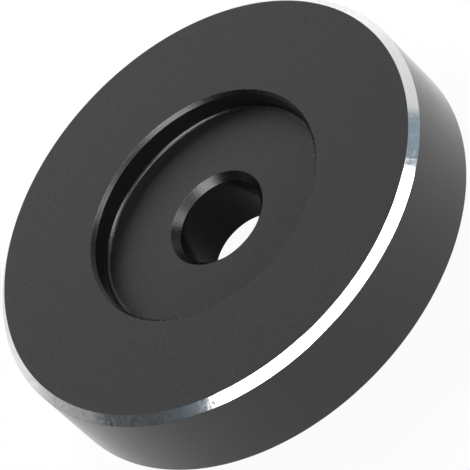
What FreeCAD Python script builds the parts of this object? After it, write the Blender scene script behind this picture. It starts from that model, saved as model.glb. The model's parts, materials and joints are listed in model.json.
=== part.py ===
"""Record spindle adapter: a one-piece turned aluminium disc for large-hole records, in millimetres.

The disc stands on its base at Z 0, with its axis on +Z through the origin. It is faced and turned
with a shallow finger recess, drilled and countersunk for the turntable's spindle, and its edges are
then bevelled or broken. The wide bevel round the top is the one that is cut bright.
"""

import FreeCAD, Part
import os

import Sketcher

NODE = "adapter_disc"
EDGE_TOLERANCE = 1e-4
VOLUME_TOLERANCE = 1e-4

# Driving dimensions: name, size in millimetres, what it measures.
SIZES = (
    ("disc_diameter", 38.0, "outside of the wall that a record's large hole slips over"),
    ("disc_height", 7.6, "base to top face"),
    ("rim_bevel", 0.65, "bright bevel round the top, across and down"),
    ("base_break", 0.3, "bevel round the base, across and down"),
    ("recess_diameter", 20.0, "wall of the finger recess"),
    ("recess_depth", 2.0, "top face to the recess floor"),
    ("lip_bevel", 0.27, "bevel on the recess lip, across and down"),
    ("corner_radius", 0.3, "inside corner between the recess wall and floor"),
    ("bore_diameter", 7.3, "slip fit on a turntable spindle"),
    ("sink_bevel", 0.55, "countersink in the recess floor, across and down"),
    ("bore_break", 0.05, "bevel where the bore leaves the base, across and down"),
)


def make_sheet(doc):
    """The spreadsheet of driving dimensions, each cell named by its alias."""
    sheet = doc.addObject("Spreadsheet::Sheet", "sizes")
    for row, (name, size, meaning) in enumerate(SIZES, start=1):
        sheet.set(f"A{row}", meaning)
        sheet.set(f"B{row}", str(size))
        sheet.setAlias(f"B{row}", name)
    doc.recompute()
    return sheet


def plane(body, role):
    """One of the body's own origin planes, by its role."""
    return next(feature for feature in body.Origin.OriginFeatures if feature.Role == role)


def new_sketch(body, name, role):
    """An empty sketch on one of the body's origin planes."""
    sketch = body.newObject("Sketcher::SketchObject", name)
    sketch.AttachmentSupport = [(plane(body, role), "")]
    sketch.MapMode = "FlatFace"
    return sketch


def bind(sketch, constraint, name, expression):
    """Adds a dimension to a sketch, names it and ties it to the sheet."""
    index = sketch.addConstraint(constraint)
    sketch.renameConstraint(index, name)
    sketch.setExpression(f"Constraints.{name}", expression)


def turned_blank(body, sheet):
    """The disc and its recess, revolved from a stepped half-section that starts on the axis."""
    radius = sheet.disc_diameter / 2
    height = sheet.disc_height
    recess = sheet.recess_diameter / 2
    floor = height - sheet.recess_depth
    corners = [(0, 0), (radius, 0), (radius, height), (recess, height), (recess, floor), (0, floor)]
    base, wall, face, recess_wall, recess_floor, axis = range(len(corners))

    sketch = new_sketch(body, "half_section", "XZ_Plane")
    points = [FreeCAD.Vector(x, y, 0) for x, y in corners]
    for start, end in zip(points, points[1:] + points[:1]):
        sketch.addGeometry(Part.LineSegment(start, end))
    for line in range(len(points)):
        sketch.addConstraint(Sketcher.Constraint("Coincident", line, 2, (line + 1) % len(points), 1))
    for line in (base, face, recess_floor):
        sketch.addConstraint(Sketcher.Constraint("Horizontal", line))
    for line in (wall, recess_wall, axis):
        sketch.addConstraint(Sketcher.Constraint("Vertical", line))
    sketch.addConstraint(Sketcher.Constraint("Coincident", base, 1, -1, 1))
    bind(sketch, Sketcher.Constraint("DistanceX", base, 1, base, 2, radius),
         "disc_radius", "sizes.disc_diameter / 2")
    bind(sketch, Sketcher.Constraint("DistanceY", wall, 1, wall, 2, height),
         "height", "sizes.disc_height")
    bind(sketch, Sketcher.Constraint("DistanceX", recess_floor, 2, recess_floor, 1, recess),
         "recess_radius", "sizes.recess_diameter / 2")
    bind(sketch, Sketcher.Constraint("DistanceY", recess_wall, 2, recess_wall, 1, sheet.recess_depth),
         "recess_depth", "sizes.recess_depth")

    blank = body.newObject("PartDesign::Revolution", "turned_blank")
    blank.Profile = sketch
    blank.ReferenceAxis = (sketch, ["V_Axis"])
    blank.Angle = 360
    return blank


def spindle_bore(body, sheet):
    """The through bore, countersunk at 45 degrees where it opens in the recess floor."""
    sketch = new_sketch(body, "bore_centre", "XY_Plane")
    sketch.setExpression("AttachmentOffset.Base.z", "sizes.disc_height - sizes.recess_depth")
    sketch.addGeometry(Part.Circle(FreeCAD.Vector(), FreeCAD.Vector(0, 0, 1), sheet.bore_diameter / 2))
    sketch.addConstraint(Sketcher.Constraint("Coincident", 0, 3, -1, 1))
    bind(sketch, Sketcher.Constraint("Diameter", 0, sheet.bore_diameter),
         "bore_diameter", "sizes.bore_diameter")
    body.Document.recompute()

    hole = body.newObject("PartDesign::Hole", "spindle_bore")
    hole.Profile = sketch
    hole.ThreadType = "None"
    hole.DepthType = "ThroughAll"
    hole.DrillPoint = "Flat"
    hole.HoleCutType = "Countersink"
    hole.HoleCutCustomValues = True
    hole.HoleCutCountersinkAngle = 90
    hole.setExpression("Diameter", "sizes.bore_diameter")
    hole.setExpression("HoleCutDiameter", "sizes.bore_diameter + 2 * sizes.sink_bevel")
    return hole


def ring_edge(feature, diameter, height):
    """The name of the feature's one circular edge of that diameter at that height."""
    names = [
        f"Edge{index}"
        for index, edge in enumerate(feature.Shape.Edges, start=1)
        if isinstance(edge.Curve, Part.Circle)
        and abs(2 * edge.Curve.Radius - diameter) < EDGE_TOLERANCE
        and abs(edge.Curve.Center.z - height) < EDGE_TOLERANCE
    ]
    if len(names) != 1:
        raise ValueError(f"{len(names)} edges of diameter {diameter} at height {height}")
    return names[0]


def dress_edge(body, kind, name, size_property, size_name, diameter, height):
    """A chamfer or fillet on one ring of the body's last feature, with its size tied to the sheet."""
    body.Document.recompute()
    base = body.Tip
    feature = body.newObject(f"PartDesign::{kind}", name)
    feature.Base = (base, [ring_edge(base, diameter, height)])
    feature.setExpression(size_property, f"sizes.{size_name}")
    return feature


def dress_edges(body, sheet):
    """Every bevel, edge break and inside corner of the turned disc."""
    top = sheet.disc_height
    floor = sheet.disc_height - sheet.recess_depth
    dress_edge(body, "Fillet", "recess_corner", "Radius", "corner_radius", sheet.recess_diameter, floor)
    dress_edge(body, "Chamfer", "recess_lip", "Size", "lip_bevel", sheet.recess_diameter, top)
    dress_edge(body, "Chamfer", "bright_rim", "Size", "rim_bevel", sheet.disc_diameter, top)
    dress_edge(body, "Chamfer", "base_edge", "Size", "base_break", sheet.disc_diameter, 0)
    dress_edge(body, "Chamfer", "bore_edge", "Size", "bore_break", sheet.bore_diameter, 0)


def check(doc, body):
    """Stops before anything is written if a feature failed or the disc isn't one sound solid."""
    failed = [item.Label for item in doc.Objects if {"Invalid", "Error"} & set(item.State)]
    if failed:
        raise RuntimeError(f"these objects failed to build: {failed}")
    shape = body.Shape
    if shape.isNull() or not shape.isValid() or len(shape.Solids) != 1:
        raise RuntimeError(f"{body.Label} is not one valid solid")
    features = [item for item in body.Group if item.isDerivedFrom("PartDesign::Feature")]
    for before, after in zip(features, features[1:]):
        if abs(after.Shape.Volume - before.Shape.Volume) < VOLUME_TOLERANCE:
            raise RuntimeError(f"{after.Label} changed nothing")


def main():
    doc = FreeCAD.newDocument("record_spindle_adapter")
    sheet = make_sheet(doc)
    body = doc.addObject("PartDesign::Body", NODE)
    body.Label = NODE
    body.Placement = FreeCAD.Placement()
    turned_blank(body, sheet)
    spindle_bore(body, sheet)
    dress_edges(body, sheet)
    doc.recompute()
    check(doc, body)

    os.makedirs("parts", exist_ok=True)
    body.Shape.exportStep(f"parts/{body.Label}.step")
    box = body.Shape.BoundBox
    print(f"{body.Label}: {box.XLength:.3f} x {box.YLength:.3f} x {box.ZLength:.3f} mm,"
          f" {body.Shape.Volume:.2f} mm3, {len(body.Shape.Faces)} faces")


main()
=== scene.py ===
"""Looks of the record spindle adapter: a blasted black disc with a bright-cut rim, on a pale floor."""

import json
import math

import bpy
from mathutils import Matrix, Vector


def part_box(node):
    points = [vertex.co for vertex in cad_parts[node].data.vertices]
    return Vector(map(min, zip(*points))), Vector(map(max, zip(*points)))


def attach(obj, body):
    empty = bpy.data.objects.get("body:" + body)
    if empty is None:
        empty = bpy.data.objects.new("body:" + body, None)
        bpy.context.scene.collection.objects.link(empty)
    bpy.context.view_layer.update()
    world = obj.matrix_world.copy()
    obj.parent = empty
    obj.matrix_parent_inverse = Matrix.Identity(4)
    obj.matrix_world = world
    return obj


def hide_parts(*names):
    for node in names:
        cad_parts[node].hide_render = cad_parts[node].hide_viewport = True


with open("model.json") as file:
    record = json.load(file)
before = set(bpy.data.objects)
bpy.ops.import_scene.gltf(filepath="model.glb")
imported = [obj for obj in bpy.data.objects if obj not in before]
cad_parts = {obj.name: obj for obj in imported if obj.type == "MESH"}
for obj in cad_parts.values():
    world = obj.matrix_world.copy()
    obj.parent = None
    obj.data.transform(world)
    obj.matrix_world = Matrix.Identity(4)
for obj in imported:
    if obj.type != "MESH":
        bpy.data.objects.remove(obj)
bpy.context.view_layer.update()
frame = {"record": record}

MM = 0.001
NODE = "adapter_disc"
MOUNTS = {mount["name"]: mount["dims"] for mount in frame["record"]["mounts"] if mount["dims"]}

# Section of the disc, in metres: what the frame gives, then the edges as the solid has them.
DISC_RADIUS = MOUNTS["record_seat"]["r_mm"] * MM
DISC_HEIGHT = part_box(NODE)[1].z
BORE_RADIUS = MOUNTS["spindle_bore"]["r_mm"] * MM
RIM_BEVEL = 0.65 * MM
BASE_BREAK = 0.3 * MM
RECESS_RADIUS = 10.0 * MM
RECESS_DEPTH = 2.0 * MM
LIP_BEVEL = 0.27 * MM
CORNER_RADIUS = 0.3 * MM
SINK_BEVEL = 0.55 * MM
BORE_BREAK = 0.05 * MM

# How far the visible edges are eased, in metres, and how finely the disc is turned.
SOFT_EASE = 0.05 * MM
EDGE_EASE = 0.03 * MM
TURN_STEPS = 512
ARC_STEPS = 6

# Corners of the half-section, from the bore's edge at the base and round: radius, height, how far the
# edge is eased, its finish, and the finish of the face that leads on to the next corner.
TOP = DISC_HEIGHT
RECESS_FLOOR = DISC_HEIGHT - RECESS_DEPTH
SECTION = (
    (BORE_RADIUS + BORE_BREAK, 0, EDGE_EASE, "satin", "blasted"),
    (DISC_RADIUS - BASE_BREAK, 0, SOFT_EASE, "satin", "satin"),
    (DISC_RADIUS, BASE_BREAK, SOFT_EASE, "satin", "satin"),
    (DISC_RADIUS, TOP - RIM_BEVEL, EDGE_EASE, "satin", "bright"),
    (DISC_RADIUS - RIM_BEVEL, TOP, EDGE_EASE, "blasted", "blasted"),
    (RECESS_RADIUS + LIP_BEVEL, TOP, EDGE_EASE, "burnished", "turned"),
    (RECESS_RADIUS, TOP - LIP_BEVEL, SOFT_EASE, "turned", "satin"),
    (RECESS_RADIUS, RECESS_FLOOR, CORNER_RADIUS, "turned", "blasted"),
    (BORE_RADIUS + SINK_BEVEL, RECESS_FLOOR, EDGE_EASE, "burnished", "turned"),
    (BORE_RADIUS, RECESS_FLOOR - SINK_BEVEL, SOFT_EASE, "turned", "turned"),
    (BORE_RADIUS, BORE_BREAK, EDGE_EASE, "turned", "turned"),
)

# Finish: the index of the clear oxide over the black, the range that noise mostly keeps to, and the
# spacing of the tool lines and the grain of the bright cut, in metres.
OXIDE_IOR = 1.55
NOISE_LOW = 0.3
NOISE_HIGH = 0.7
TOOL_LINE_SPACING = 0.07 * MM
CUT_GRAIN = 0.3 * MM
CUT_DEPTH = 0.0015 * MM

# Camera, fitted to the photograph: its view of the centre of the top face, in a 470 pixel frame.
FRAME_PIXELS = 470
SENSOR = 36.0
FOCAL_PIXELS = 5049.8
VIEW_ELEVATION = math.radians(41.46)
VIEW_ROLL = math.radians(-46.89)
VIEW_DISTANCE = 383.15 * MM
CENTRE_PIXELS = (-32.97, -31.11)
NEAR_CLIP = 10 * MM

# Floor: its size and how far it lies below the base, in metres, then its own glow: as the eye sees it,
# and as reflections see it at the left, at the right and under the disc, with their share of lit white.
# In reflections the glow carries painted shade: darker at the left than the right, and dim under the disc.
FLOOR_SIZE = 8.0
FLOOR_DROP = 0.02 * MM
SEEN_GLOW = 0.95
# Painted shade: the floor's glow in reflections is darker at the left and dim under the disc, where its
# shadow falls.
LEFT_PAINTED_SHADE_GLOW = 0.75
RIGHT_PAINTED_LIGHT_GLOW = 0.95
UNDER_DISC_PAINTED_SHADOW_GLOW = 0.2
PAINTED_SHADOW_RADIUS = 0.9 * DISC_RADIUS
REFLECTED_WHITE = 0.1

# Studio: panels and lamps stand on domes round the disc, of these radii in metres. A panel is a grid, and
# its brightness may vary over patches of the mottle's size.
PANEL_DISTANCE = 0.6
PANEL_COLUMNS = 24
PANEL_ROWS = 12
MOTTLE_SIZE = 40 * MM
LAMP_DISTANCE = 0.32
FAR_LAMP = 20.0
NEAR_LAMP = 2.8
WORLD_STRENGTH = 1.4

# Where one panel ends and the next begins: bearings in degrees to the camera's left, from left to right.
LEFT_FAR_END = 150
LEFT_FLAG_END = 111
LEFT_EDGE_END = 82
KEY_LEFT = 60.5
KEY_RIGHT = 13
FILL_LEFT = -45
FILL_RIGHT = -74
RIGHT_FLAG_START = -79.5
RIGHT_FLAG_END = -100.5
RIGHT_FAR_END = -145

# Colour of the right flag beside the fill light, which the bright rim mirrors as blue-grey.
FLAG_BLUE = (0.17, 0.23, 0.275)


def grey(level):
    """A neutral colour at that level, where 1 is white."""
    return (level, level, level)


def even(level):
    """The colours of a panel that is the same grey from side to side."""
    return (grey(level), grey(level))


def add_node(tree, kind, **inputs):
    """A shader node with its inputs set by name or linked from another node's output."""
    node = tree.nodes.new(kind)
    for name, value in inputs.items():
        set_input(tree, node, name.replace("_", " "), value)
    return node


def set_input(tree, node, name, value):
    """Sets one input of a node, or links it where the value is an output."""
    socket = next(item for item in node.inputs if item.name == name and item.enabled)
    if isinstance(value, bpy.types.NodeSocket):
        tree.links.new(value, socket)
    else:
        socket.default_value = value


def new_material(name):
    """A node material, its tree and its main shader."""
    material = bpy.data.materials.new(name)
    material.use_nodes = True
    return material, material.node_tree, material.node_tree.nodes["Principled BSDF"]


def empty_material(name):
    """A node material with nothing in its tree, and the tree."""
    material = bpy.data.materials.new(name)
    material.use_nodes = True
    material.node_tree.nodes.clear()
    return material, material.node_tree


def set_surface(tree, shader):
    """Makes a shader's output the surface of the tree's material."""
    add_node(tree, "ShaderNodeOutputMaterial", Surface=shader)


def object_point(tree):
    """The point that is shaded, on the object's own coordinates."""
    return add_node(tree, "ShaderNodeTexCoord").outputs["Object"]


def noise(tree, size, detail=2.0):
    """Noise with features of that size, in metres."""
    node = add_node(tree, "ShaderNodeTexNoise", Vector=object_point(tree), Scale=1 / size, Detail=detail)
    return node.outputs["Fac"]


def tool_lines(tree, spacing):
    """Noise that changes with height alone, so that it runs round the disc as tool lines do."""
    height = add_node(tree, "ShaderNodeSeparateXYZ", Vector=object_point(tree)).outputs["Z"]
    lines = tree.nodes.new("ShaderNodeTexNoise")
    lines.noise_dimensions = "1D"
    set_input(tree, lines, "W", height)
    set_input(tree, lines, "Scale", 1 / spacing)
    set_input(tree, lines, "Detail", 3.0)
    return lines.outputs["Fac"]


def remap(tree, value, low, high, start=NOISE_LOW, end=NOISE_HIGH):
    """A value from start to end, stretched to run from low to high."""
    node = add_node(tree, "ShaderNodeMapRange", Value=value)
    for name, limit in (("From Min", start), ("From Max", end), ("To Min", low), ("To Max", high)):
        set_input(tree, node, name, limit)
    return node.outputs["Result"]


def ramp(tree, value, *stops):
    """A colour by a value from 0 to 1, through stops that each have a position and a colour."""
    node = add_node(tree, "ShaderNodeValToRGB", Fac=value)
    for position, _ in stops[2:]:
        node.color_ramp.elements.new(position)
    for element, (position, colour) in zip(node.color_ramp.elements, stops):
        element.position = position
        element.color = (*colour, 1)
    return node.outputs["Color"]


def tint(tree, value, dark, light):
    """A colour between two, by a value that is noise."""
    return ramp(tree, value, (NOISE_LOW, dark), (NOISE_HIGH, light))


def bump(tree, height, depth):
    """A normal from a height that runs from 0 to 1, over that depth in metres."""
    return add_node(tree, "ShaderNodeBump", Height=height, Distance=depth).outputs["Normal"]


def anodised(name, black, gloss, roughness, patch, grain, depth):
    """Black anodising: a black between two levels, the gloss of the oxide and the grain of the metal.

    The roughness runs between two values over patches of that size; the grain has a size and a depth.
    """
    material, tree, shader = new_material(name)
    height = noise(tree, grain, detail=3.0)
    shader.inputs["IOR"].default_value = OXIDE_IOR
    shader.inputs["Specular IOR Level"].default_value = gloss
    set_input(tree, shader, "Base Color", tint(tree, height, grey(black[0]), grey(black[1])))
    set_input(tree, shader, "Roughness", remap(tree, noise(tree, patch), *roughness))
    set_input(tree, shader, "Normal", bump(tree, height, depth))
    return material


def bright_cut():
    """Bare aluminium, cut bright after the anodising; tool lines spread reflections across the bevel."""
    material, tree, shader = new_material("bright_cut")
    lines = tool_lines(tree, TOOL_LINE_SPACING)
    shader.inputs["Metallic"].default_value = 1.0
    shader.inputs["Anisotropic"].default_value = 1.0
    shader.inputs["Anisotropic Rotation"].default_value = 0.25
    set_input(tree, shader, "Base Color", tint(tree, lines, (0.89, 0.9, 0.9), (0.94, 0.945, 0.94)))
    set_input(tree, shader, "Roughness", remap(tree, noise(tree, CUT_GRAIN), 0.1, 0.23))
    set_input(tree, shader, "Normal", bump(tree, noise(tree, CUT_GRAIN), CUT_DEPTH))
    return material


def finishes():
    """The finishes of the disc, by name."""
    return {
        "blasted": anodised(
            "blasted_black", black=(0.049, 0.063), gloss=0.02, roughness=(0.5, 0.6),
            patch=2.5 * MM, grain=0.15 * MM, depth=0.012 * MM,
        ),
        "satin": anodised(
            "satin_black", black=(0.008, 0.016), gloss=0.5, roughness=(0.12, 0.18),
            patch=2.5 * MM, grain=0.15 * MM, depth=0.004 * MM,
        ),
        "turned": anodised(
            "turned_black", black=(0.003, 0.006), gloss=0.3, roughness=(0.15, 0.3),
            patch=0.15 * MM, grain=0.12 * MM, depth=0.012 * MM,
        ),
        "burnished": anodised(
            "burnished_black", black=(0.003, 0.006), gloss=1.0, roughness=(0.15, 0.3),
            patch=0.15 * MM, grain=0.12 * MM, depth=0.004 * MM,
        ),
        "bright": bright_cut(),
    }


def eased_section(corners):
    """Points of the section with their normals and the finish of the face that follows each point."""
    points = []
    for index, (radius, height, ease, edge, face) in enumerate(corners):
        before = corners[index - 1]
        after = corners[(index + 1) % len(corners)]
        here = Vector((radius, height))
        way_in = (here - Vector(before[:2])).normalized()
        way_out = (Vector(after[:2]) - here).normalized()
        turn = math.atan2(way_in.x * way_out.y - way_in.y * way_out.x, way_in.dot(way_out))
        side = math.copysign(ease, turn)
        start = here - way_in * ease * math.tan(abs(turn) / 2)
        normal_in = Vector((way_in.y, -way_in.x))
        centre = start - normal_in * side
        for step in range(ARC_STEPS + 1):
            normal = Matrix.Rotation(turn * step / ARC_STEPS, 2) @ normal_in
            points.append((centre + normal * side, normal, face if step == ARC_STEPS else edge))
    return points


def lathe(name, section, materials):
    """A closed mesh turned about +Z, with exact normals, a finish for each face and unrolled UVs."""
    rows = len(section)
    turns = [2 * math.pi * step / TURN_STEPS for step in range(TURN_STEPS)]
    vertices, normals, faces, indices = [], [], [], []
    for point, normal, _ in section:
        for turn in turns:
            vertices.append((point.x * math.cos(turn), point.x * math.sin(turn), point.y))
            normals.append((normal.x * math.cos(turn), normal.x * math.sin(turn), normal.y))
    for row in range(rows):
        for step in range(TURN_STEPS):
            low, high = row * TURN_STEPS, (row + 1) % rows * TURN_STEPS
            ahead = (step + 1) % TURN_STEPS
            faces.append((low + step, low + ahead, high + ahead, high + step))
            indices.append(list(materials).index(section[row][2]))
    mesh = bpy.data.meshes.new(name)
    mesh.from_pydata(vertices, [], faces)
    for material in materials.values():
        mesh.materials.append(material)
    mesh.polygons.foreach_set("material_index", indices)
    mesh.shade_smooth()
    unroll(mesh, section)
    mesh.normals_split_custom_set_from_vertices(normals)
    disc = bpy.data.objects.new(name, mesh)
    bpy.context.scene.collection.objects.link(disc)
    return disc


def unroll(mesh, section):
    """A UV map of the whole surface: once round the axis across, and once along the section up."""
    lengths = [0.0]
    for (here, _, _), (after, _, _) in zip(section, section[1:] + section[:1]):
        lengths.append(lengths[-1] + (after - here).length)
    layer = mesh.uv_layers.new(name="OFBake")
    for index, polygon in enumerate(mesh.polygons):
        row, step = divmod(index, TURN_STEPS)
        left, right = step / TURN_STEPS, (step + 1) / TURN_STEPS
        low, high = lengths[row] / lengths[-1], lengths[row + 1] / lengths[-1]
        corners = ((left, low), (right, low), (right, high), (left, high))
        for loop, corner in zip(polygon.loop_indices, corners):
            layer.data[loop].uv = corner


def build_disc():
    """The visible disc, which stands for the solid."""
    disc = lathe("turned_disc", eased_section(SECTION), finishes())
    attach(disc, "root")
    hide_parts(NODE)


def stage_mesh(name, vertices, faces, material):
    """A mesh that belongs to the studio and not to the object."""
    mesh = bpy.data.meshes.new(name)
    mesh.from_pydata(vertices, [], faces)
    mesh.materials.append(material)
    item = bpy.data.objects.new(name, mesh)
    bpy.context.scene.collection.objects.link(item)
    return item


def build_world():
    """White surroundings, brightest part of the way up and dimmer at the floor and overhead."""
    world = bpy.data.worlds.new("white_studio")
    world.use_nodes = True
    tree = world.node_tree
    way = add_node(tree, "ShaderNodeTexCoord").outputs["Generated"]
    height = add_node(tree, "ShaderNodeSeparateXYZ", Vector=way).outputs["Z"]
    level = ramp(tree, height, (0.3, grey(0.3)), (0.52, grey(1.0)), (0.86, grey(0.1)))
    background = tree.nodes["Background"]
    set_input(tree, background, "Color", level)
    set_input(tree, background, "Strength", WORLD_STRENGTH)
    world.cycles_visibility.diffuse = False
    bpy.context.scene.world = world


def lit_share(tree, glow, white):
    """A surface with its own glow, and a share of white that takes its light from the studio."""
    emission = add_node(tree, "ShaderNodeEmission", Strength=glow)
    diffuse = add_node(tree, "ShaderNodeBsdfDiffuse", Color=(*grey(white), 1))
    both = tree.nodes.new("ShaderNodeAddShader")
    tree.links.new(emission.outputs["Emission"], both.inputs[0])
    tree.links.new(diffuse.outputs["BSDF"], both.inputs[1])
    return both.outputs["Shader"]


def floor_glow_with_painted_shade(tree):
    """How bright reflections see the floor, with painted shade: darker at the left, dim under the disc."""
    point = object_point(tree)
    across = add_node(tree, "ShaderNodeSeparateXYZ", Vector=point).outputs["X"]
    reach = tree.nodes.new("ShaderNodeVectorMath")
    reach.operation = "LENGTH"
    tree.links.new(point, reach.inputs["Vector"])
    # Painted shade across the floor: the glow is darker at the left and lighter at the right.
    painted_side_shade = remap(tree, across, LEFT_PAINTED_SHADE_GLOW, RIGHT_PAINTED_LIGHT_GLOW, -DISC_RADIUS, DISC_RADIUS)
    # Painted shadow: the glow dims under the disc.
    return remap(tree, reach.outputs["Value"], UNDER_DISC_PAINTED_SHADOW_GLOW, painted_side_shade, PAINTED_SHADOW_RADIUS, DISC_RADIUS)


def build_floor():
    """A pale floor, white to the eye and pale in reflections with painted shade, which keeps the object's
    soft shadow.
    """
    material, tree = empty_material("pale_floor")
    path = tree.nodes.new("ShaderNodeLightPath")
    surface = lit_share(tree, glow=0.0, white=1.0)
    shares = (
        ("Is Glossy Ray", floor_glow_with_painted_shade(tree), REFLECTED_WHITE),
        ("Is Transmission Ray", SEEN_GLOW, 1 - SEEN_GLOW),
        ("Is Camera Ray", SEEN_GLOW, 1 - SEEN_GLOW),
    )
    for kind, glow, white in shares:
        mix = add_node(tree, "ShaderNodeMixShader", Fac=path.outputs[kind])
        tree.links.new(surface, mix.inputs[1])
        tree.links.new(lit_share(tree, glow, white), mix.inputs[2])
        surface = mix.outputs["Shader"]
    set_surface(tree, surface)
    half = FLOOR_SIZE / 2
    corners = [(x, y, -FLOOR_DROP) for x, y in ((-half, -half), (half, -half), (half, half), (-half, half))]
    stage_mesh("floor", corners, [(0, 1, 2, 3)], material)


def dome_point(bearing, elevation, distance):
    """A point on a dome round the disc, by its bearing and elevation in degrees and the dome's radius."""
    turn = math.radians(bearing)
    rise = math.radians(elevation)
    level = distance * math.cos(rise)
    return (-level * math.sin(turn), -level * math.cos(turn), distance * math.sin(rise))


def glowing_material(name, mottle):
    """A glow in the mesh's own colours, mottled by that share of its brightness."""
    material, tree = empty_material(name)
    colour = add_node(tree, "ShaderNodeVertexColor").outputs["Color"]
    strength = remap(tree, noise(tree, MOTTLE_SIZE), 1 - mottle, 1 + mottle)
    emission = add_node(tree, "ShaderNodeEmission", Color=colour, Strength=strength)
    set_surface(tree, emission.outputs["Emission"])
    return material


def build_panel(name, start, end, colours, mottle=0.0, distance=PANEL_DISTANCE):
    """A piece of a dome round the disc, which bright surfaces reflect, from one side to the other.

    Each side is a bearing with the elevations that the panel runs between there, all in degrees. The
    colour runs from the first to the second.
    """
    vertices, shades, faces = [], [], []
    for row in range(PANEL_ROWS + 1):
        for column in range(PANEL_COLUMNS + 1):
            across = column / PANEL_COLUMNS
            bearing, low, high = Vector(start).lerp(Vector(end), across)
            vertices.append(dome_point(bearing, low + (high - low) * row / PANEL_ROWS, distance))
            shades.append(Vector(colours[0]).lerp(Vector(colours[1]), across))
    width = PANEL_COLUMNS + 1
    for row in range(PANEL_ROWS):
        for column in range(PANEL_COLUMNS):
            first = row * width + column
            faces.append((first, first + 1, first + width + 1, first + width))
    panel = stage_mesh(name, vertices, faces, glowing_material(name, mottle))
    layer = panel.data.color_attributes.new("glow", "FLOAT_COLOR", "POINT")
    for point, shade in zip(layer.data, shades):
        point.color = (*shade, 1)
    panel.visible_camera = False
    panel.visible_diffuse = False
    panel.visible_transmission = False
    panel.visible_shadow = False
    return panel


def build_lamp(name, start, end, level):
    """A soft lamp for matt surfaces: a panel that lights them and isn't reflected."""
    lamp = build_panel(name, start, end, even(level), distance=LAMP_DISTANCE)
    lamp.visible_diffuse = True
    lamp.visible_glossy = False


def build_lights():
    """The bright panels beside the camera and overhead, with a dim card below the camera."""
    build_panel("key_light", (KEY_LEFT, 2, 63), (KEY_RIGHT, 22, 72), even(9.5))
    build_panel("camera_side", (KEY_RIGHT, 44, 53), (FILL_LEFT, 40, 49), even(4.2))
    build_panel("camera_card", (KEY_RIGHT, 0, 44), (FILL_LEFT, 0, 40), even(0.25))
    build_panel("fill_light", (FILL_LEFT, 30, 68), (FILL_RIGHT, 20, 58), even(6.0))
    build_panel("fill_low", (FILL_LEFT, 2, 30), (-72, 2, 19.5), even(16.0))
    build_panel("fill_edge", (FILL_RIGHT, 20, 58), (RIGHT_FLAG_START, 20, 55), (grey(1.0), FLAG_BLUE))
    build_panel("fill_wing", (-84, 51, 63), (-106, 51, 63), even(16.0))
    build_panel("top_light", (180, 78, 90), (-180, 78, 90), even(11.0))


def build_lamps():
    """The lamps for the matt black: two behind the disc, and a low one in front, under the camera."""
    build_lamp("far_right_lamp", (152, 19, 50), (168, 19, 50), FAR_LAMP)
    build_lamp("far_left_lamp", (186, 19, 50), (200, 19, 50), FAR_LAMP)
    build_lamp("near_lamp", (40, 4, 26), (-40, 4, 26), NEAR_LAMP)


def build_flags():
    """The dim panels at the sides, which the bright rim mirrors between its white stretches."""
    build_panel(
        "left_edge", (LEFT_EDGE_END, 0, 68), (KEY_LEFT, 0, 70),
        ((0.06, 0.08, 0.09), (0.2, 0.23, 0.26)), mottle=0.5,
    )
    build_panel(
        "left_flag", (LEFT_FLAG_END, 0, 63), (LEFT_EDGE_END, 0, 68),
        ((0.06, 0.065, 0.07), (0.05, 0.06, 0.07)), mottle=0.9,
    )
    build_panel(
        "left_far", (LEFT_FAR_END, 0, 40), (LEFT_FLAG_END, 0, 63),
        (grey(0.46), (0.22, 0.225, 0.23)),
    )
    build_panel(
        "right_flag", (RIGHT_FLAG_START, 0, 51), (RIGHT_FLAG_END, 0, 50),
        (FLAG_BLUE, (0.2, 0.26, 0.31)), mottle=0.7,
    )
    build_panel(
        "right_far", (RIGHT_FLAG_END, 0, 50), (RIGHT_FAR_END, 0, 25),
        ((0.66, 0.665, 0.64), (0.84, 0.84, 0.83)),
    )


def build_camera():
    """The photograph's view: the top face's centre lies at its place in the frame, with no shift."""
    forward = Vector((0, math.cos(VIEW_ELEVATION), -math.sin(VIEW_ELEVATION)))
    level = Vector((1, 0, 0))
    upright = Vector((0, math.sin(VIEW_ELEVATION), math.cos(VIEW_ELEVATION)))
    right = level * math.cos(VIEW_ROLL) + upright * math.sin(VIEW_ROLL)
    up = upright * math.cos(VIEW_ROLL) - level * math.sin(VIEW_ROLL)
    across, down = (pixels / FOCAL_PIXELS for pixels in CENTRE_PIXELS)
    place = Vector((0, 0, DISC_HEIGHT)) - (forward + right * across - up * down) * VIEW_DISTANCE
    data = bpy.data.cameras.new("camera")
    data.sensor_width = SENSOR
    data.lens = FOCAL_PIXELS / FRAME_PIXELS * SENSOR
    data.clip_start = NEAR_CLIP
    camera = bpy.data.objects.new("camera", data)
    turned = Matrix((right, up, -forward)).transposed().to_4x4()
    camera.matrix_world = Matrix.Translation(place) @ turned
    bpy.context.scene.collection.objects.link(camera)
    bpy.context.scene.camera = camera


build_disc()
build_world()
build_floor()
build_lights()
build_lamps()
build_flags()
build_camera()
bpy.context.scene.view_settings.view_transform = "Standard"
